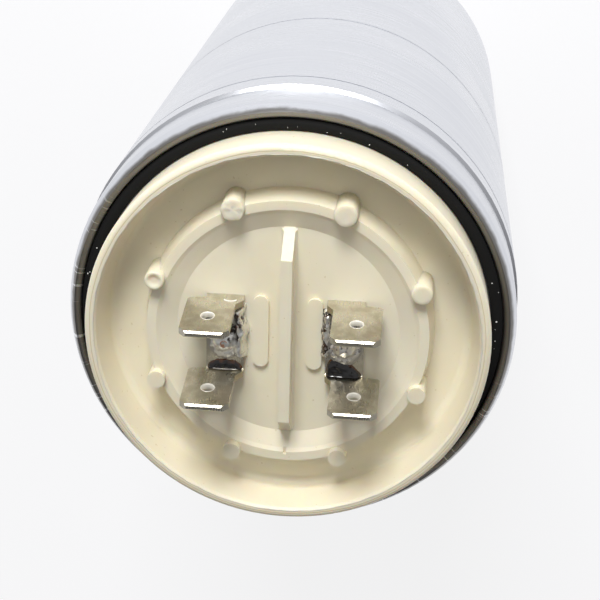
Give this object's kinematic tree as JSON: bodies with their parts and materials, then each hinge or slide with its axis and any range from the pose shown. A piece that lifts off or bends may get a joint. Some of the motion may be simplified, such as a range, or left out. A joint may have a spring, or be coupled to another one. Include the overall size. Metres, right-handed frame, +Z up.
{
  "type": "motor run capacitor",
  "caption": "Round aluminium-can motor run capacitor with a moulded cream terminal cap, rubber crimp gasket and double push-on blades.",
  "frame": {"origin": "middle of the flat base of the can", "axes": "+Z up along the can towards the terminals, +Y along the rib of the terminal cap, +X across the rib"},
  "size_m": [0.06, 0.06, 0.1313],
  "materials": {
    "insulating_cup": "moulded insulating cup",
    "impact_extruded_aluminium": "satin drawn aluminium, rolled mouth",
    "winding_core": "moulded polypropylene tube",
    "rubber_seal": "matt black moulded rubber",
    "lead_sleeving": "woven insulating sleeving",
    "tinned_copper": "tinned copper wire",
    "plated_rivet": "tinned brass, bright",
    "solder": "bright solder with burnt flux",
    "tinned_brass": "tinned brass stamping, satin",
    "potting_resin": "cast resin",
    "moulded_cap_plastic": "cream moulded thermoplastic, satin gloss",
    "insulating_board": "punched insulating board",
    "zinc_spray": "matt sprayed zinc",
    "metallised_film": "rolled metallised polypropylene film",
    "clear_wrap": "wound insulating film"
  },
  "bodies": {
    "root": {"base_cup": "insulating_cup", "can": "impact_extruded_aluminium", "core_tube": "winding_core", "gasket_ring": "rubber_seal", "left_lead_sleeve": "lead_sleeving", "left_lead_wire": "tinned_copper", "left_rivet": "plated_rivet", "left_solder": "solder", "left_terminal": "tinned_brass", "lower_end_spray": "zinc_spray", "lower_lead_joint": "solder", "resin_fill": "potting_resin", "right_lead_sleeve": "lead_sleeving", "right_lead_wire": "tinned_copper", "right_rivet": "plated_rivet", "right_solder": "solder", "right_terminal": "tinned_brass", "terminal_cap": "moulded_cap_plastic", "top_disc": "insulating_board", "upper_end_spray": "zinc_spray", "upper_lead_joint": "solder", "winding_element": "metallised_film", "winding_wrap": "clear_wrap"}
  },
  "joints": []
}
